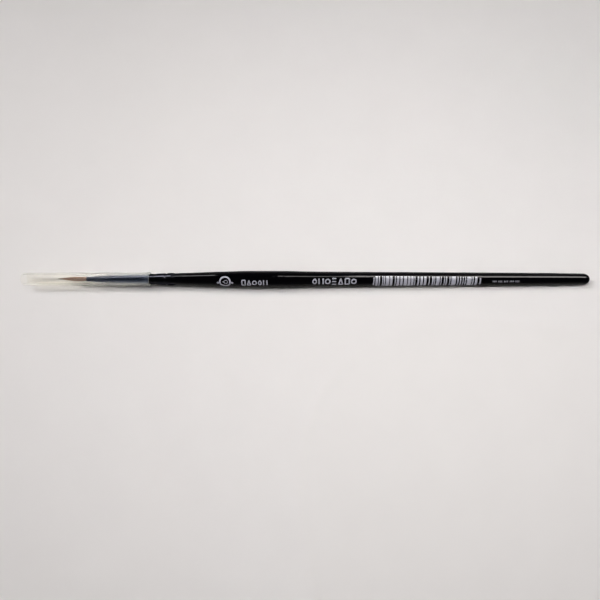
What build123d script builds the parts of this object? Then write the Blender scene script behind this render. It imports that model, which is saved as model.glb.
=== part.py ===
from build123d import *
import os

# A fine detail brush for model making. Millimetres. Every piece is turned about the X axis: X = 0 is the
# handle's belly, +X runs to the butt and -X to the hair's tip. +Z is up.

# Handle: (station, radius) pairs of its turned outline, on each side of the belly's short cylindrical land
BELLY_RADIUS = 2.81
BELLY_LENGTH = 8.0
NECK_OUTLINE = [(-11.0, 2.65), (-17.5, 2.45), (-24.0, 2.19)]
NECK_RADIUS = 1.96
TAIL_OUTLINE = [(13.0, 2.68), (23.5, 2.55), (47.0, 2.43), (78.0, 2.24), (98.0, 2.11)]
BUTT_START = 110.3
BUTT_START_RADIUS = 1.9
BUTT_LENGTH = 2.0

# Ferrule: a drawn cone with two crimps and a bead rolled at its rear edge
FERRULE_MOUTH = -60.3
FERRULE_REAR = -30.0
MOUTH_RADIUS = 0.76
CONE_GROWTH = 0.047
FERRULE_WALL = 0.17
SOFT_CRIMP = -36.8
SOFT_CRIMP_HALF = 0.7
SOFT_CRIMP_DEPTH = 0.09
HARD_CRIMP = -32.9
HARD_CRIMP_HALF = 0.42
HARD_CRIMP_DEPTH = 0.2
BEAD_CREST = -31.15
BEAD_RADIUS = 2.13
REAR_RADIUS = 2.0

# Tenon: the handle's front end, which the two crimps grip
TENON_FRONT = -42.5
GLUED_REAR = -38.4
GLUE_FILM = 0.08
GLUE_POOL = 1.1
TENON_CHAMFER = 0.35

# Hair: the rooted length in the ferrule and the free length in front of it
ROOT_END = -52.8
ROOT_RADIUS = 0.62
ROOT_GRIP = -59.5
FREE_GAP = 0.12
HAIR_BASE_RADIUS = 0.58
HAIR_OUTLINE = [(-61.2, 0.68), (-62.8, 0.72), (-64.8, 0.67), (-67.0, 0.46), (-69.0, 0.24)]
HAIR_TIP = -70.6
HAIR_TIP_RADIUS = 0.06

# Thread tied round the root end, and the resin that sets both in the ferrule
THREAD_RADIUS = 0.06
THREAD_PITCH = 0.11
THREAD_TURNS = 7
THREAD_FRONT = -54.6
RESIN_FRONT = -57.0
RESIN_REAR = -50.6
RESIN_SLACK = 0.01

# Protective tube: an open plastic sleeve, flared where it runs on to the ferrule
TUBE_FRONT = -81.95
TUBE_REAR = -38.5
TUBE_RADIUS = 2.2
TUBE_WALL = 0.48
FLARE_LENGTH = 2.6
FLARE_RADIUS = 2.44
TUBE_EDGE = 0.12


def cone_radius(x):
    """The ferrule's outer radius at station x, before its crimps and bead."""
    return MOUTH_RADIUS + (x - FERRULE_MOUTH) * CONE_GROWTH


def crimp_stations(centre, half, depth, inset):
    """The start, bottom and end of one crimp's groove, moved inwards by inset."""
    start = (centre - half, cone_radius(centre - half) - inset)
    bottom = (centre, cone_radius(centre) - depth - inset)
    end = (centre + half, cone_radius(centre + half) - inset)
    return start, bottom, end


def ferrule_line(start, inset):
    """Draws the ferrule's outline from x = start to its rear edge, moved inwards by inset."""
    soft = crimp_stations(SOFT_CRIMP, SOFT_CRIMP_HALF, SOFT_CRIMP_DEPTH, inset)
    hard = crimp_stations(HARD_CRIMP, HARD_CRIMP_HALF, HARD_CRIMP_DEPTH, inset)
    Line((start, cone_radius(start) - inset), soft[0])
    ThreePointArc(*soft)
    Line(soft[2], hard[0])
    ThreePointArc(*hard)
    ThreePointArc(hard[2], (BEAD_CREST, BEAD_RADIUS - inset), (FERRULE_REAR, REAR_RADIUS - inset))


# Ferrule: one wall, open at both ends
with BuildPart() as ferrule:
    with BuildSketch(Plane.XY):
        with BuildLine():
            ferrule_line(FERRULE_MOUTH, 0)
            ferrule_line(FERRULE_MOUTH, FERRULE_WALL)
            Line((FERRULE_MOUTH, MOUTH_RADIUS), (FERRULE_MOUTH, MOUTH_RADIUS - FERRULE_WALL))
            Line((FERRULE_REAR, REAR_RADIUS), (FERRULE_REAR, REAR_RADIUS - FERRULE_WALL))
        make_face()
    revolve(axis=Axis.X)

# Handle: the turned wood with its tenon. The tenon fills the crimped stretch and is slimmer where it is glued.
half_belly = BELLY_LENGTH / 2
tenon_radius = cone_radius(TENON_FRONT) - FERRULE_WALL - GLUE_FILM
with BuildPart() as handle:
    with BuildSketch(Plane.XY):
        with BuildLine():
            Polyline(
                (TENON_FRONT, 0),
                (TENON_FRONT, tenon_radius - TENON_CHAMFER),
                (TENON_FRONT + TENON_CHAMFER, tenon_radius),
                (GLUED_REAR, cone_radius(GLUED_REAR) - FERRULE_WALL - GLUE_FILM),
                (GLUED_REAR, cone_radius(GLUED_REAR) - FERRULE_WALL),
            )
            ferrule_line(GLUED_REAR, FERRULE_WALL)
            Line((FERRULE_REAR, REAR_RADIUS - FERRULE_WALL), (FERRULE_REAR, NECK_RADIUS))
            Spline(
                (FERRULE_REAR, NECK_RADIUS),
                *reversed(NECK_OUTLINE),
                (-half_belly, BELLY_RADIUS),
                tangents=[(1, 0.06), (1, 0)],
            )
            Line((-half_belly, BELLY_RADIUS), (half_belly, BELLY_RADIUS))
            Spline(
                (half_belly, BELLY_RADIUS),
                *TAIL_OUTLINE,
                (BUTT_START, BUTT_START_RADIUS),
                tangents=[(1, 0), (1, -0.03)],
            )
            EllipticalCenterArc((BUTT_START, 0), BUTT_LENGTH, BUTT_START_RADIUS, 0, arc_size=90)
            Line((BUTT_START + BUTT_LENGTH, 0), (TENON_FRONT, 0))
        make_face()
    revolve(axis=Axis.X)

# Adhesive: a film round the front of the tenon and a pool before its end
pool_front = TENON_FRONT - GLUE_POOL
with BuildPart() as tenon_glue:
    with BuildSketch(Plane.XY):
        with BuildLine():
            Polyline(
                (pool_front, 0),
                (pool_front, cone_radius(pool_front) - FERRULE_WALL),
                (GLUED_REAR, cone_radius(GLUED_REAR) - FERRULE_WALL),
                (GLUED_REAR, cone_radius(GLUED_REAR) - FERRULE_WALL - GLUE_FILM),
                (TENON_FRONT + TENON_CHAMFER, tenon_radius),
                (TENON_FRONT, tenon_radius - TENON_CHAMFER),
                (TENON_FRONT, 0),
                close=True,
            )
        make_face()
    revolve(axis=Axis.X)

# Rooted hair: gripped by the ferrule's mouth and waisted under the thread
thread_rear = THREAD_FRONT + THREAD_PITCH * (THREAD_TURNS - 1)
waist_front = THREAD_FRONT - 2 * THREAD_RADIUS
waist_rear = thread_rear + 2 * THREAD_RADIUS
waist_radius = ROOT_RADIUS - THREAD_RADIUS
with BuildPart() as hair_roots:
    with BuildSketch(Plane.XY):
        with BuildLine():
            Polyline(
                (FERRULE_MOUTH, 0),
                (FERRULE_MOUTH, MOUTH_RADIUS - FERRULE_WALL),
                (ROOT_GRIP, ROOT_RADIUS),
                (waist_front - THREAD_RADIUS, ROOT_RADIUS),
                (waist_front, waist_radius),
                (waist_rear, waist_radius),
                (waist_rear + THREAD_RADIUS, ROOT_RADIUS),
                (ROOT_END, ROOT_RADIUS),
                (ROOT_END, 0),
                close=True,
            )
        make_face()
    revolve(axis=Axis.X)

# Binding thread: tight turns side by side round the waist
with BuildPart() as binding_thread:
    with BuildSketch(Plane.XY):
        for turn in range(THREAD_TURNS):
            with Locations((THREAD_FRONT + THREAD_PITCH * turn, waist_radius + THREAD_RADIUS)):
                Circle(THREAD_RADIUS)
    revolve(axis=Axis.X)

# Resin: fills the ferrule round the roots and behind them, and closes round the thread
thread_room = waist_radius + 2 * THREAD_RADIUS + RESIN_SLACK
with BuildPart() as root_resin:
    with BuildSketch(Plane.XY):
        with BuildLine():
            Polyline(
                (RESIN_FRONT, ROOT_RADIUS),
                (RESIN_FRONT, cone_radius(RESIN_FRONT) - FERRULE_WALL),
                (RESIN_REAR, cone_radius(RESIN_REAR) - FERRULE_WALL),
                (RESIN_REAR, 0),
                (ROOT_END, 0),
                (ROOT_END, ROOT_RADIUS),
                (waist_rear + THREAD_RADIUS, ROOT_RADIUS),
                (waist_rear + THREAD_RADIUS, thread_room),
                (waist_front - THREAD_RADIUS, thread_room),
                (waist_front - THREAD_RADIUS, ROOT_RADIUS),
                close=True,
            )
        make_face()
    revolve(axis=Axis.X)

# Free hair: starts just clear of the mouth, swells a little and closes to a fine point
with BuildPart() as hair_tuft:
    with BuildSketch(Plane.XY):
        with BuildLine():
            base = FERRULE_MOUTH - FREE_GAP
            Line((base, 0), (base, HAIR_BASE_RADIUS))
            Spline((base, HAIR_BASE_RADIUS), *HAIR_OUTLINE, (HAIR_TIP, HAIR_TIP_RADIUS))
            Polyline((HAIR_TIP, HAIR_TIP_RADIUS), (HAIR_TIP, 0), (base, 0))
        make_face()
    revolve(axis=Axis.X)

# Protective tube: straight, with a short smooth flare at its rear mouth and softened cut edges
flare_start = TUBE_REAR - FLARE_LENGTH
with BuildPart() as protective_tube:
    with BuildSketch(Plane.XY):
        with BuildLine():
            for inset in (0, TUBE_WALL):
                straight_end = (flare_start, TUBE_RADIUS - inset)
                flare_end = (TUBE_REAR, FLARE_RADIUS - inset)
                Line((TUBE_FRONT, TUBE_RADIUS - inset), straight_end)
                Spline(straight_end, flare_end, tangents=[(1, 0), (1, 0.1)])
            Line((TUBE_FRONT, TUBE_RADIUS), (TUBE_FRONT, TUBE_RADIUS - TUBE_WALL))
            Line((TUBE_REAR, FLARE_RADIUS), (TUBE_REAR, FLARE_RADIUS - TUBE_WALL))
        make_face()
    revolve(axis=Axis.X)
    cut_faces = faces().sort_by(Axis.X)
    fillet(cut_faces[0].edges() + cut_faces[-1].edges(), TUBE_EDGE)

os.makedirs("parts", exist_ok=True)
pieces = {
    "handle": handle,
    "ferrule": ferrule,
    "tenon_glue": tenon_glue,
    "hair_roots": hair_roots,
    "binding_thread": binding_thread,
    "root_resin": root_resin,
    "hair_tuft": hair_tuft,
    "protective_tube": protective_tube,
}
for name, piece in pieces.items():
    piece.part.label = name
    export_step(piece.part, f"parts/{name}.step")
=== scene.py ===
import math
import random

import bpy
import numpy as np
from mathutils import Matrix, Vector


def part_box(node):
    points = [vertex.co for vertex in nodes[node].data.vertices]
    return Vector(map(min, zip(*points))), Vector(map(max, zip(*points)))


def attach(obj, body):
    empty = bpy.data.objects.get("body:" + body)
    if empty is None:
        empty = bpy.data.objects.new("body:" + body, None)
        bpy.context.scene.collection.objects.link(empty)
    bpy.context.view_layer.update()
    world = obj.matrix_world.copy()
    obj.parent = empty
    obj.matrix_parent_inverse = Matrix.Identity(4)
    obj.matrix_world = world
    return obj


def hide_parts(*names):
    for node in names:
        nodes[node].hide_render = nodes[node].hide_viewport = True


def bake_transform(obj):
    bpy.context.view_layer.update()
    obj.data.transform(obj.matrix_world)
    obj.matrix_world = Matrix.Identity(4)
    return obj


# A fine detail brush lying on a pale table, seen from almost straight above. Metres, in the row's frame:
# X runs along the brush, from the hair's tip to the butt, and Z is up.

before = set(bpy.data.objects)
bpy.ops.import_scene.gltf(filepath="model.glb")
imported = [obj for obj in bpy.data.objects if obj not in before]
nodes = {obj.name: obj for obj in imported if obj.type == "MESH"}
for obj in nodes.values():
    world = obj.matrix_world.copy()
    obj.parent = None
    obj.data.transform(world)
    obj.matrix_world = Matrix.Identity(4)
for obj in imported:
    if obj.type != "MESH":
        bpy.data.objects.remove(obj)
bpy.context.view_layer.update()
MM = 0.001

tube_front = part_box("protective_tube")[0].x
tube_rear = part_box("protective_tube")[1].x
ferrule_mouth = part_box("ferrule")[0].x
ferrule_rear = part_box("ferrule")[1].x
ferrule_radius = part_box("ferrule")[1].z
belly_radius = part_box("handle")[1].z
butt_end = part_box("handle")[1].x
hair_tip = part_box("hair_tuft")[0].x
hair_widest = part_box("hair_tuft")[1].z
root_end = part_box("hair_roots")[1].x
root_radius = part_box("hair_roots")[1].z


# ---------------------------------------------------------------- node helpers

def new_material(name):
    """An empty node material with its output; returns the material, its tree and the output node."""
    made = bpy.data.materials.new(name)
    made.use_nodes = True
    tree = made.node_tree
    tree.nodes.clear()
    output = tree.nodes.new("ShaderNodeOutputMaterial")
    return made, tree, output


def node(tree, kind, **values):
    """Adds a node. Keyword names are input sockets with _ for a space, or the node's own properties."""
    made = tree.nodes.new(kind)
    for key, value in values.items():
        socket = made.inputs.get(key.replace("_", " "))
        if socket is not None:
            socket.default_value = value
        else:
            setattr(made, key, value)
    return made


def grain(tree, scale, stretch=(1, 1, 1), detail=3.0, roughness=0.6):
    """Noise fixed to the object, in features per metre, stretched along its axes."""
    place = node(tree, "ShaderNodeTexCoord")
    turn = node(tree, "ShaderNodeMapping", Scale=stretch)
    noise = node(tree, "ShaderNodeTexNoise", Scale=scale, Detail=detail, Roughness=roughness)
    tree.links.new(place.outputs["Object"], turn.inputs["Vector"])
    tree.links.new(turn.outputs["Vector"], noise.inputs["Vector"])
    return noise.outputs["Fac"]


def ramp(tree, value, stops):
    """A colour ramp over value: stops are (position, colour) pairs."""
    made = node(tree, "ShaderNodeValToRGB")
    elements = made.color_ramp.elements
    while len(elements) < len(stops):
        elements.new(1.0)
    for element, (position, colour) in zip(elements, stops):
        element.position = position
        element.color = (*colour, 1.0)
    tree.links.new(value, made.inputs["Fac"])
    return made.outputs["Color"]


def spread(tree, value, low, high):
    """Maps a 0 to 1 value to the range low to high."""
    made = node(tree, "ShaderNodeMapRange", To_Min=low, To_Max=high)
    tree.links.new(value, made.inputs["Value"])
    return made.outputs["Result"]


def bump(tree, shader, height, distance, strength=1.0):
    """Gives a shader a fine relief of that height in metres."""
    made = node(tree, "ShaderNodeBump", Strength=strength, Distance=distance)
    tree.links.new(height, made.inputs["Height"])
    tree.links.new(made.outputs["Normal"], shader.inputs["Normal"])


def station(tree, low, high):
    """0 before X = low and 1 after X = high, for a change of finish along the brush."""
    place = node(tree, "ShaderNodeTexCoord")
    split = node(tree, "ShaderNodeSeparateXYZ")
    made = node(tree, "ShaderNodeMapRange", From_Min=low, From_Max=high)
    tree.links.new(place.outputs["Object"], split.inputs["Vector"])
    tree.links.new(split.outputs["X"], made.inputs["Value"])
    return made.outputs["Result"]


def mix_shaders(tree, factor, first, second):
    made = node(tree, "ShaderNodeMixShader")
    if hasattr(factor, "links"):
        tree.links.new(factor, made.inputs["Fac"])
    else:
        made.inputs["Fac"].default_value = factor
    tree.links.new(first, made.inputs[1])
    tree.links.new(second, made.inputs[2])
    return made.outputs["Shader"]


# ------------------------------------------------------------------- materials

# Share of a tube wall's surface that scatters light: face on, edge on, and edge on towards the rear, where the
# extra haze is painted light for the blur of the thick wall
HAZE_FACING = 0.016
HAZE_EDGE = 0.045
HAZE_PAINTED_BLUR = 0.36
# The most that its edge mirrors, and the most light that its edge keeps out of the space behind it
SHINE_LIMIT = 0.25
SHADE_LIMIT = 0.8

def black_lacquer():
    """Gloss black lacquer over turned wood, and the bare wood of the tenon in front of the shoulder."""
    made, tree, output = new_material("black_lacquer")
    gloss = node(
        tree,
        "ShaderNodeBsdfPrincipled",
        Specular_IOR_Level=0.0,
        Coat_Weight=0.3,
        Coat_Roughness=0.05,
        Coat_IOR=1.34,
    )
    depth = grain(tree, 260, stretch=(0.25, 1, 1))
    tree.links.new(
        ramp(tree, depth, [(0.3, (0.0006, 0.0005, 0.0009)), (0.75, (0.0018, 0.0015, 0.0024))]),
        gloss.inputs["Base Color"],
    )
    tree.links.new(spread(tree, grain(tree, 1400), 0.16, 0.26), gloss.inputs["Roughness"])
    bump(tree, gloss, grain(tree, 700, stretch=(0.12, 1, 1)), 0.006 * MM, 0.5)
    wood = node(tree, "ShaderNodeBsdfPrincipled", Roughness=0.65)
    tree.links.new(
        ramp(
            tree,
            grain(tree, 900, stretch=(0.06, 1, 1), detail=5),
            [(0.25, (0.46, 0.29, 0.16)), (0.5, (0.62, 0.43, 0.26)), (0.8, (0.72, 0.54, 0.36))],
        ),
        wood.inputs["Base Color"],
    )
    edge = station(tree, ferrule_rear - 0.02 * MM, ferrule_rear)
    tree.links.new(
        mix_shaders(tree, edge, wood.outputs["BSDF"], gloss.outputs["BSDF"]), output.inputs["Surface"]
    )
    return made


def black_nickel():
    """Black nickel plate with faint drawing lines along the ferrule."""
    made, tree, output = new_material("black_nickel")
    metal = node(tree, "ShaderNodeBsdfPrincipled", Metallic=1.0, Specular_Tint=(0.15, 0.15, 0.17, 1))
    lines = grain(tree, 2600, stretch=(0.015, 1, 1), detail=4)
    tree.links.new(
        ramp(tree, lines, [(0.25, (0.016, 0.016, 0.02)), (0.75, (0.03, 0.03, 0.036))]),
        metal.inputs["Base Color"],
    )
    tree.links.new(spread(tree, grain(tree, 1100, detail=2), 0.13, 0.24), metal.inputs["Roughness"])
    bump(tree, metal, lines, 0.004 * MM, 0.4)
    tree.links.new(metal.outputs["BSDF"], output.inputs["Surface"])
    return made


def milky_plastic():
    """Thin clear plastic with a haze that is thicker where the wall is seen edge on, thicker still edge on
    towards the rear as painted light for the thick wall's blur, and greyer at the flare as painted shade for the
    darkening its lensing gives.
    """
    made, tree, output = new_material("milky_plastic")
    # Painted shade: the see-through is greyed towards the flare, standing in for the darkening that the thick
    # wall's lensing gives
    flare_shade = station(tree, tube_rear - 16 * MM, tube_rear - 0.5 * MM)
    clear = node(tree, "ShaderNodeBsdfTransparent")
    tint = ramp(
        tree,
        flare_shade,
        [(0.0, (0.998, 0.994, 0.975)), (0.8, (0.95, 0.95, 0.94)), (1.0, (0.8, 0.81, 0.81))],
    )
    tree.links.new(tint, clear.inputs["Color"])
    facing = node(tree, "ShaderNodeLayerWeight", Blend=0.5)
    diffuse = node(tree, "ShaderNodeBsdfDiffuse")
    bluish = ramp(tree, facing.outputs["Facing"], [(0.08, (0.5, 0.64, 1.0)), (0.4, (1.0, 1.0, 0.95))])
    tree.links.new(bluish, diffuse.inputs["Color"])
    through = node(tree, "ShaderNodeBsdfTranslucent", Color=(1.0, 0.98, 0.9, 1))
    haze = mix_shaders(tree, 0.35, diffuse.outputs["BSDF"], through.outputs["BSDF"])
    edge_haze = node(tree, "ShaderNodeMapRange", From_Min=0.08, From_Max=0.36, To_Min=HAZE_FACING)
    # Painted light: the edge haze grows towards the rear, standing in for the bright blur that the thick curved
    # wall gives
    painted_blur_share = station(tree, tube_rear - 26 * MM, tube_rear - 8 * MM)
    tree.links.new(spread(tree, painted_blur_share, HAZE_EDGE, HAZE_PAINTED_BLUR), edge_haze.inputs["To Max"])
    tree.links.new(facing.outputs["Facing"], edge_haze.inputs["Value"])
    body = mix_shaders(tree, edge_haze.outputs["Result"], clear.outputs["BSDF"], haze)
    shine = node(tree, "ShaderNodeBsdfGlossy", Color=(0.75, 0.75, 0.75, 1), Roughness=0.3)
    fresnel = node(tree, "ShaderNodeFresnel", IOR=1.13)
    limited = node(tree, "ShaderNodeMapRange")
    shadow = node(tree, "ShaderNodeLightPath").outputs["Is Shadow Ray"]
    tree.links.new(spread(tree, shadow, SHINE_LIMIT, SHADE_LIMIT), limited.inputs["To Max"])
    tree.links.new(fresnel.outputs["Fac"], limited.inputs["Value"])
    bump(tree, shine, grain(tree, 500, stretch=(0.1, 1, 1)), 0.003 * MM, 0.4)
    tree.links.new(
        mix_shaders(tree, limited.outputs["Result"], body, shine.outputs["BSDF"]), output.inputs["Surface"]
    )
    return made


def soft_hair():
    """Reddish-brown hair, each hair of its own shade, paler at the tip."""
    made, tree, output = new_material("soft_hair")
    hair = node(
        tree,
        "ShaderNodeBsdfPrincipled",
        Roughness=0.42,
        Specular_IOR_Level=0.45,
        Sheen_Weight=0.15,
    )
    each = node(tree, "ShaderNodeNewGeometry")
    shade = ramp(
        tree,
        each.outputs["Random Per Island"],
        [(0.0, (0.17, 0.08, 0.04)), (0.45, (0.3, 0.155, 0.08)), (1.0, (0.46, 0.28, 0.17))],
    )
    paler = node(tree, "ShaderNodeMix", data_type="RGBA", blend_type="MIX")
    tip_share = station(tree, hair_tip + 4 * MM, hair_tip)
    streak = grain(tree, 4000, stretch=(0.06, 1, 1))
    weight = node(tree, "ShaderNodeMath", operation="MULTIPLY")
    tree.links.new(tip_share, weight.inputs[0])
    tree.links.new(spread(tree, streak, 0.45, 0.95), weight.inputs[1])
    tree.links.new(weight.outputs["Value"], paler.inputs["Factor"])
    tree.links.new(shade, paler.inputs[6])
    paler.inputs[7].default_value = (0.33, 0.25, 0.17, 1)
    tree.links.new(paler.outputs[2], hair.inputs["Base Color"])
    tree.links.new(hair.outputs["BSDF"], output.inputs["Surface"])
    return made


def grey_ink():
    """Pale grey pad-printed ink, a little uneven where it is thin."""
    made, tree, output = new_material("grey_ink")
    ink = node(tree, "ShaderNodeBsdfPrincipled", Coat_Weight=0.25, Coat_Roughness=0.15)
    tree.links.new(
        ramp(tree, grain(tree, 5200, detail=4), [(0.3, (0.3, 0.3, 0.36)), (0.7, (0.42, 0.42, 0.49))]),
        ink.inputs["Base Color"],
    )
    tree.links.new(spread(tree, grain(tree, 2400), 0.38, 0.55), ink.inputs["Roughness"])
    tree.links.new(ink.outputs["BSDF"], output.inputs["Surface"])
    return made


def speckled(name, dark, light, scale, roughness, stretch=(1, 1, 1), transmission=0.0):
    """A plain inner material: two close shades broken up by noise."""
    made, tree, output = new_material(name)
    body = node(tree, "ShaderNodeBsdfPrincipled", Transmission_Weight=transmission)
    noise = grain(tree, scale, stretch=stretch)
    tree.links.new(ramp(tree, noise, [(0.3, dark), (0.7, light)]), body.inputs["Base Color"])
    tree.links.new(spread(tree, noise, roughness * 0.8, roughness * 1.2), body.inputs["Roughness"])
    bump(tree, body, noise, 0.01 * MM, 0.5)
    tree.links.new(body.outputs["BSDF"], output.inputs["Surface"])
    return made


def pale_table():
    """A smooth pale table with the faintest mottling. Far off, past the lights, it stays a plain grey glow that
    only the camera sees: painted light in place of lamp light.
    """
    made, tree, output = new_material("pale_table")
    top = node(tree, "ShaderNodeBsdfPrincipled", Roughness=0.8, Specular_IOR_Level=0.15)
    tree.links.new(
        ramp(tree, grain(tree, 60, detail=2), [(0.2, (0.80, 0.775, 0.765)), (0.8, (0.82, 0.795, 0.785))]),
        top.inputs["Base Color"],
    )
    place = node(tree, "ShaderNodeTexCoord")
    away = node(tree, "ShaderNodeVectorMath", operation="LENGTH")
    far = node(tree, "ShaderNodeMapRange", From_Min=0.16, From_Max=0.36, interpolation_type="SMOOTHSTEP")
    glow_share = node(tree, "ShaderNodeMath", operation="MULTIPLY")
    tree.links.new(place.outputs["Object"], away.inputs[0])
    tree.links.new(away.outputs["Value"], far.inputs["Value"])
    tree.links.new(far.outputs["Result"], glow_share.inputs[0])
    tree.links.new(node(tree, "ShaderNodeLightPath").outputs["Is Camera Ray"], glow_share.inputs[1])
    # Painted light: far off, the camera sees the table as an even grey glow instead of lit by the lamps
    far_glow = node(tree, "ShaderNodeEmission", Color=(0.5, 0.49, 0.48, 1))
    tree.links.new(
        mix_shaders(tree, glow_share.outputs["Value"], top.outputs["BSDF"], far_glow.outputs["Emission"]),
        output.inputs["Surface"],
    )
    return made


def paint(obj, made):
    """Gives every face of obj one material."""
    obj.data.materials.clear()
    obj.data.materials.append(made)


def paint_node(name, made):
    """Gives a CAD node a better material and leaves its mesh alone."""
    for slot in nodes[name].material_slots:
        slot.material = made


paint_node("handle", black_lacquer())
paint_node("ferrule", black_nickel())
paint_node("protective_tube", milky_plastic())
paint_node("tenon_glue", speckled("dried_glue", (0.7, 0.62, 0.42), (0.82, 0.76, 0.6), 1500, 0.45))
paint_node(
    "root_resin", speckled("amber_resin", (0.42, 0.24, 0.07), (0.6, 0.38, 0.14), 900, 0.2, transmission=0.4)
)


# ----------------------------------------------------------------- mesh helpers

def mesh_piece(name, vertices, faces, made, smooth=True):
    """A mesh object in the row's frame."""
    data = bpy.data.meshes.new(name)
    data.from_pydata(vertices, [], faces)
    data.update()
    piece = bpy.data.objects.new(name, data)
    bpy.context.scene.collection.objects.link(piece)
    data.polygons.foreach_set("use_smooth", [smooth] * len(data.polygons))
    paint(piece, made)
    return piece


def tube_along(path, radii, sides):
    """Vertices and faces of a closed tube that follows path, with one radius at each point."""
    vertices, faces = [], []
    count = len(path)
    for i, (point, radius) in enumerate(zip(path, radii)):
        ahead = path[min(i + 1, count - 1)] - path[max(i - 1, 0)]
        ahead.normalize()
        side = ahead.cross(Vector((0, 0, 1)))
        if side.length < 0.2:
            side = ahead.cross(Vector((0, 1, 0)))
        side.normalize()
        up = side.cross(ahead)
        for k in range(sides):
            turn = 2 * math.pi * k / sides
            vertices.append(point + (side * math.cos(turn) + up * math.sin(turn)) * radius)
    for i in range(count - 1):
        for k in range(sides):
            k2 = (k + 1) % sides
            faces.append((i * sides + k, (i + 1) * sides + k, (i + 1) * sides + k2, i * sides + k2))
    faces.append(tuple(reversed(range((count - 1) * sides, count * sides))))
    faces.append(tuple(range(sides)))
    return vertices, faces


# ------------------------------------------------------------------------ hair

HAIR_COUNT = 340
HAIR_RADIUS = 0.036 * MM
HAIR_STEPS = 22
HAIR_SIDES = 5
SPILL = 0.05 * MM
TIP_LEAN = 0.2 * MM


def bundle_radius(x):
    """Outer radius of the bundle of hair at station x, from the root end to the tip."""
    outline = [
        (root_end, root_radius * 0.93),
        (root_end - 0.9 * MM, root_radius * 0.93),
        (root_end - 1.2 * MM, root_radius * 0.82),
        (root_end - 1.9 * MM, root_radius * 0.82),
        (root_end - 2.3 * MM, root_radius * 0.93),
        (ferrule_mouth + 0.9 * MM, root_radius * 0.93),
        (ferrule_mouth, root_radius * 0.9),
        (ferrule_mouth - 0.7 * MM, hair_widest * 0.98),
        (ferrule_mouth - 2.5 * MM, hair_widest * 1.03),
        (ferrule_mouth - 4.5 * MM, hair_widest * 0.98),
        (ferrule_mouth - 6.6 * MM, hair_widest * 0.68),
        (ferrule_mouth - 8.6 * MM, hair_widest * 0.38),
        (hair_tip, hair_widest * 0.1),
    ]
    xs = [p[0] for p in reversed(outline)]
    rs = [p[1] for p in reversed(outline)]
    return float(np.interp(x, xs, rs))


def make_hair():
    """Separate hairs, from the root end in the resin, through the mouth, to one fine point."""
    chance = random.Random(11)
    vertices, faces = [], []
    golden = math.pi * (3 - math.sqrt(5))
    for i in range(HAIR_COUNT):
        share = math.sqrt((i + 0.5) / HAIR_COUNT)
        turn = i * golden
        reach = chance.random()
        end_x = hair_tip + (0.15 + 4.2 * reach * (0.35 + 0.65 * share)) * MM
        sway = chance.uniform(-1, 1) * SPILL
        sway_turn = chance.uniform(0, 2 * math.pi)
        path, radii = [], []
        for step in range(HAIR_STEPS):
            t = step / (HAIR_STEPS - 1)
            x = root_end + (end_x - root_end) * t
            free = max(0.0, (ferrule_mouth - x) / (ferrule_mouth - hair_tip))
            r = share * max(bundle_radius(x) - HAIR_RADIUS, 0.0)
            drift = sway * math.sin(math.pi * min(free, 1.0)) if free > 0 else 0.0
            lean = TIP_LEAN * free * free
            path.append(
                Vector(
                    (
                        x,
                        r * math.cos(turn + 0.25 * free) + drift * math.cos(sway_turn) + lean,
                        r * math.sin(turn + 0.25 * free) + drift * math.sin(sway_turn),
                    )
                )
            )
            taper = 1.0 - 0.85 * max(0.0, (t - 0.55) / 0.45) ** 1.6
            radii.append(HAIR_RADIUS * taper)
        made_vertices, made_faces = tube_along(path, radii, HAIR_SIDES)
        base = len(vertices)
        vertices += made_vertices
        faces += [tuple(base + k for k in face) for face in made_faces]
    return mesh_piece("hair_strands", vertices, faces, soft_hair())


hair = make_hair()
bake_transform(hair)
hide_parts("hair_roots", "hair_tuft")


# --------------------------------------------------------------- binding thread

THREAD_RADIUS = 0.055 * MM
THREAD_TURNS = 6.5
THREAD_STEP = 24


def make_thread():
    """One thread wound round the roots."""
    low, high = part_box("binding_thread")
    wound = high.z - THREAD_RADIUS
    length = high.x - low.x - 2 * THREAD_RADIUS
    steps = int(THREAD_TURNS * THREAD_STEP)
    path = []
    for i in range(steps + 1):
        turn = 2 * math.pi * i / THREAD_STEP
        x = low.x + THREAD_RADIUS + length * i / steps
        path.append(Vector((x, wound * math.cos(turn), wound * math.sin(turn))))
    vertices, faces = tube_along(path, [THREAD_RADIUS] * len(path), 8)
    cotton = speckled("cotton_thread", (0.6, 0.57, 0.5), (0.78, 0.75, 0.68), 6000, 0.8)
    return mesh_piece("wound_thread", vertices, faces, cotton)


thread = make_thread()
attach(thread, "brush")
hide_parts("binding_thread")


# ----------------------------------------------------------------------- print

PRINT_TURN = math.radians(31)
INK_HEIGHT = 0.02 * MM
INK_BITE = 0.01 * MM
ARC_STEP = math.radians(5)
LONG_STEP = 0.8 * MM


def handle_outline():
    """The handle's radius against X, read from its mesh."""
    rings = {}
    for v in nodes["handle"].data.vertices:
        if v.co.x > ferrule_rear:
            key = round(v.co.x, 6)
            rings[key] = max(rings.get(key, 0.0), math.hypot(v.co.y, v.co.z))
    xs = sorted(rings)
    return xs, [rings[x] for x in xs]


outline_x, outline_r = handle_outline()


def on_handle(x, around, height):
    """A point above the lacquer at station x, around metres from the print's centre line."""
    radius = float(np.interp(x, outline_x, outline_r))
    turn = PRINT_TURN + around / radius
    return Vector((x, -math.sin(turn) * (radius + height), math.cos(turn) * (radius + height)))


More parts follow.
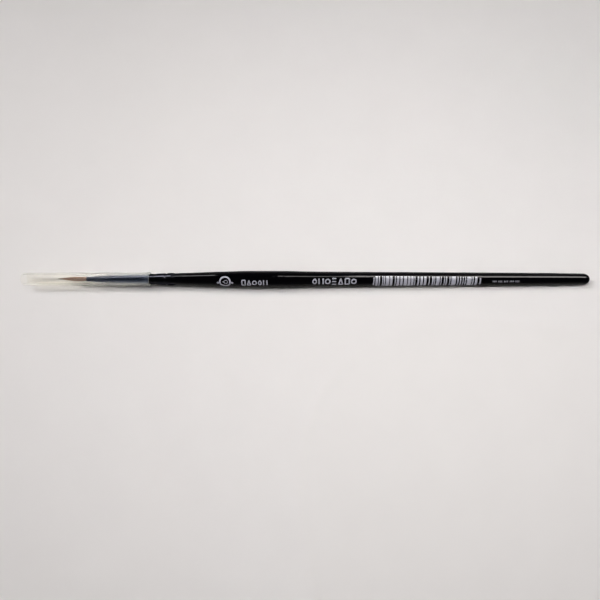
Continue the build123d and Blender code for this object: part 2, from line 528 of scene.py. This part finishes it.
class Ink:
    """Collects thin closed ribbons of ink that follow the handle's surface."""

    def __init__(self):
        self.vertices = []
        self.faces = []

    def ribbon(self, points, widths, closed=False):
        """A band along points, which are (station, around) pairs in metres, with a width at each."""
        count = len(points)
        base = len(self.vertices)
        for i, ((x, s), width) in enumerate(zip(points, widths)):
            before = points[(i - 1) % count] if closed or i > 0 else points[i]
            after = points[(i + 1) % count] if closed or i < count - 1 else points[i]
            dx, ds = after[0] - before[0], after[1] - before[1]
            size = math.hypot(dx, ds)
            nx, ns = -ds / size * width / 2, dx / size * width / 2
            for sign, height in ((1, INK_HEIGHT), (-1, INK_HEIGHT), (-1, -INK_BITE), (1, -INK_BITE)):
                self.vertices.append(on_handle(x + sign * nx, s + sign * ns, height))
        spans = count if closed else count - 1
        for i in range(spans):
            a, b = base + 4 * i, base + 4 * ((i + 1) % count)
            for k in range(4):
                k2 = (k + 1) % 4
                self.faces.append((a + k, a + k2, b + k2, b + k))
        if not closed:
            last = base + 4 * (count - 1)
            self.faces.append((base + 3, base + 2, base + 1, base))
            self.faces.append((last, last + 1, last + 2, last + 3))

    def line(self, start, end, width):
        """A straight stroke, divided finely enough to follow the handle."""
        length = math.hypot(end[0] - start[0], end[1] - start[1])
        steps = max(1, math.ceil(length / (0.25 * MM)))
        points = [
            (start[0] + (end[0] - start[0]) * i / steps, start[1] + (end[1] - start[1]) * i / steps)
            for i in range(steps + 1)
        ]
        self.ribbon(points, [width] * len(points))

    def ring(self, x, s, radius, width, steps=48):
        points = [
            (x + radius * math.cos(2 * math.pi * i / steps), s + radius * math.sin(2 * math.pi * i / steps))
            for i in range(steps)
        ]
        self.ribbon(points, [width] * steps, closed=True)

    def outline(self, corners, width):
        """Straight strokes round a shape's corners."""
        for first, second in zip(corners, corners[1:] + corners[:1]):
            self.line(first, second, width)

    def piece(self, name, made):
        printed = mesh_piece(name, self.vertices, self.faces, made, smooth=False)
        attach(printed, "brush")
        return printed


def paint_drop(ink, x, s, length, width):
    """A plain filled drop, its point towards the hair."""
    steps = 16
    points, widths = [], []
    for i in range(steps + 1):
        t = i / steps
        points.append((x + (t - 0.5) * length, s))
        widths.append(max(0.02 * MM, width * math.sin(math.pi * t ** 1.7) ** 0.9))
    ink.ribbon(points, widths)


def glyph(ink, kind, x, s, wide, tall, stroke):
    """One plain ornament in a row of them: no letter of any alphabet."""
    left, right = x - wide / 2, x + wide / 2
    low, high = s - tall / 2, s + tall / 2
    if kind == "box":
        ink.outline([(left, low), (right, low), (right, high), (left, high)], stroke)
    elif kind == "ring":
        ink.ring(x, s, (tall - stroke) / 2 * 0.9, stroke, 28)
    elif kind == "triangle":
        ink.outline([(left, high), (right, high), (x, low)], stroke)
    elif kind == "bars":
        ink.line((left, low), (left, high), stroke)
        ink.line((right, low), (right, high), stroke)
    elif kind == "diamond":
        ink.outline([(left, s), (x, low), (right, s), (x, high)], stroke)
    elif kind == "steps":
        for share in (0.0, 0.5, 1.0):
            ink.line((left, low + share * tall), (right, low + share * tall), stroke)


INK = grey_ink()


def row_of_glyphs(name, kinds, start, end, s, tall, stroke):
    """A row of ornaments from start to end, centred around metres from the print's centre line."""
    ink = Ink()
    pitch = (end - start) / len(kinds)
    for i, kind in enumerate(kinds):
        glyph(ink, kind, start + (i + 0.5) * pitch, s, pitch * 0.62, tall, stroke)
    return ink.piece(name, INK)


# Stations of the print along the handle, from the belly towards the butt
EMBLEM_X = -12.5 * MM
EMBLEM_RADIUS = 1.75 * MM
SHORT_ROW = (-7.1 * MM, 2.1 * MM)
LONG_ROW = (16.8 * MM, 32.3 * MM)
BAR_BLOCK = (37.8 * MM, 74.4 * MM)
BAR_HALF = (1.95 * MM, 1.6 * MM)
BAR_ROUNDING = 1.2 * MM
DASH_ROW = (78.3 * MM, 88.0 * MM)

emblem = Ink()
emblem.ring(EMBLEM_X, 0, EMBLEM_RADIUS, 0.5 * MM)
paint_drop(emblem, EMBLEM_X, 0, 2.1 * MM, 1.3 * MM)
for side in (-1, 1):
    leaf_x = EMBLEM_X + side * (EMBLEM_RADIUS + 0.75 * MM)
    paint_drop(emblem, leaf_x, 0.35 * MM, -side * 0.9 * MM, 0.8 * MM)
emblem.piece("print_emblem", INK)

row_of_glyphs(
    "print_short_row",
    ["box", "triangle", "ring", "diamond", "bars"],
    *SHORT_ROW,
    0.3 * MM,
    1.85 * MM,
    0.38 * MM,
)
row_of_glyphs(
    "print_long_row",
    ["diamond", "bars", "ring", "steps", "triangle", "box", "ring"],
    *LONG_ROW,
    -0.1 * MM,
    2.1 * MM,
    0.42 * MM,
)


def bar_pattern():
    """A block of bars of uneven width across the handle, rounded off at its ends. It encodes nothing."""
    chance = random.Random(8)
    ink = Ink()
    start, end = BAR_BLOCK
    x = start
    while x < end:
        width = min(chance.choice((0.3, 0.4, 0.5, 0.8, 1.1, 1.5)) * MM, end - x)
        middle = x + width / 2
        from_end = min(middle - start, end - middle) / BAR_ROUNDING
        full = BAR_HALF[0] + (BAR_HALF[1] - BAR_HALF[0]) * (middle - start) / (end - start)
        half = full * (1.0 if from_end >= 1 else 0.45 + 0.55 * math.sqrt(1 - (1 - from_end) ** 2))
        ink.line((middle, -half), (middle, half), width)
        x += width + chance.choice((0.25, 0.3, 0.35, 0.4, 0.5, 0.8)) * MM
    return ink.piece("print_bars", INK)


bar_pattern()


def dash_row():
    """A short row of small dashes in groups."""
    ink = Ink()
    start, end = DASH_ROW
    groups, dashes = 5, 3
    pitch = (end - start) / groups
    step = pitch / (dashes + 1)
    for group in range(groups):
        for k in range(dashes):
            x = start + group * pitch + (k + 0.5) * step
            ink.line((x, -0.28 * MM), (x, 0.28 * MM), 0.24 * MM)
    return ink.piece("print_dashes", INK)


dash_row()


# ------------------------------------------------------- table, light and camera

def make_table():
    """A pale table that touches the belly and the butt, so it tilts a little under the brush's axis."""
    size = 3.0
    touch_x, touch_r = 4 * MM, belly_radius
    butt_x, butt_r = butt_end - 3 * MM, 1.95 * MM
    slope = (touch_r - butt_r) / (butt_x - touch_x)
    clearance = 0.02 * MM

    def height(x):
        return -touch_r - clearance + (x - touch_x) * slope

    corners = [(-size, -size), (size, -size), (size, size), (-size, size)]
    table = mesh_piece("table", [(x, y, height(x)) for x, y in corners], [(0, 1, 2, 3)], pale_table())


make_table()


def soft_light(name, place, aim, sizes, strength, spread_angle, colour):
    """A soft box with a grid of spread_angle degrees. It only lights, and isn't mirrored in the lacquer."""
    data = bpy.data.lights.new(name, "AREA")
    data.shape = "RECTANGLE"
    data.size, data.size_y = sizes
    data.energy = strength * sizes[0] * sizes[1]
    data.spread = math.radians(spread_angle)
    data.color = colour
    lamp = bpy.data.objects.new(name, data)
    bpy.context.scene.collection.objects.link(lamp)
    lamp.location = place
    lamp.rotation_mode = "QUATERNION"
    lamp.rotation_quaternion = (Vector(aim) - Vector(place)).to_track_quat("-Z", "Y")
    lamp.visible_glossy = False
    lamp.visible_camera = False
    return lamp


def window(name, x0, x1, lean, distance, width, strength, colour):
    """A long bright pane along the brush, lean degrees from straight up to the back. Only gloss sees it."""
    data = bpy.data.lights.new(name, "AREA")
    data.shape = "RECTANGLE"
    data.size = x1 - x0
    data.size_y = width
    data.energy = strength * data.size * data.size_y
    data.color = colour
    lamp = bpy.data.objects.new(name, data)
    bpy.context.scene.collection.objects.link(lamp)
    turn = math.radians(lean)
    lamp.location = ((x0 + x1) / 2, distance * math.sin(turn), distance * math.cos(turn))
    lamp.rotation_euler = (-turn, 0, 0)
    lamp.visible_diffuse = False
    lamp.visible_camera = False
    return lamp


WARM = (1.0, 0.985, 0.975)
soft_light("soft_top", (-0.016, 0.028, 0.319), (0.22, -0.03, 0), (0.07, 0.184), 27.5, 110, WARM)
soft_light("soft_back_left", (-0.287, 0.16, 0.354), (-0.1, -0.14, 0), (0.16, 0.08), 58.0, 120, WARM)
window("window_right", -0.015, 0.75, 31, 0.7, 0.13, 61.0, (1.0, 0.97, 0.95))
window("window_right_wide", 0.12, 0.75, 34, 0.71, 0.32, 70.0, (1.0, 0.965, 0.94))
window("window_left", -0.85, -0.19, 53, 0.7, 0.11, 96.0, (0.97, 0.98, 1.0))


def soft_room():
    """A dim room that is paler near the horizon, so that low views have a plain pale background."""
    world = bpy.data.worlds.new("soft_room")
    bpy.context.scene.world = world
    world.use_nodes = True
    tree = world.node_tree
    tree.nodes.clear()
    output = tree.nodes.new("ShaderNodeOutputWorld")
    shade = tree.nodes.new("ShaderNodeBackground")
    place = node(tree, "ShaderNodeTexCoord")
    split = node(tree, "ShaderNodeSeparateXYZ")
    tree.links.new(place.outputs["Generated"], split.inputs["Vector"])
    sky = ramp(
        tree,
        split.outputs["Z"],
        [(0.0, (0.5, 0.49, 0.48)), (0.22, (0.2, 0.197, 0.195)), (0.6, (0.035, 0.035, 0.037))],
    )
    tree.links.new(sky, shade.inputs["Color"])
    tree.links.new(shade.outputs["Background"], output.inputs["Surface"])


soft_room()

CAMERA_FIELD = math.radians(68)
CAMERA_ELEVATION = math.radians(83)
CAMERA_DISTANCE = 0.1522
AIM = Vector((12.95 * MM, -7.24 * MM, 0))

camera_data = bpy.data.cameras.new("camera")
camera_data.angle = CAMERA_FIELD
camera_data.clip_start = 0.005
camera = bpy.data.objects.new("camera", camera_data)
bpy.context.scene.collection.objects.link(camera)
back = Vector((0, -math.cos(CAMERA_ELEVATION), math.sin(CAMERA_ELEVATION)))
camera.location = AIM + back * CAMERA_DISTANCE
camera.rotation_mode = "QUATERNION"
camera.rotation_quaternion = (-back).to_track_quat("-Z", "Y")
bpy.context.scene.camera = camera
bpy.context.scene.view_settings.view_transform = "Standard"
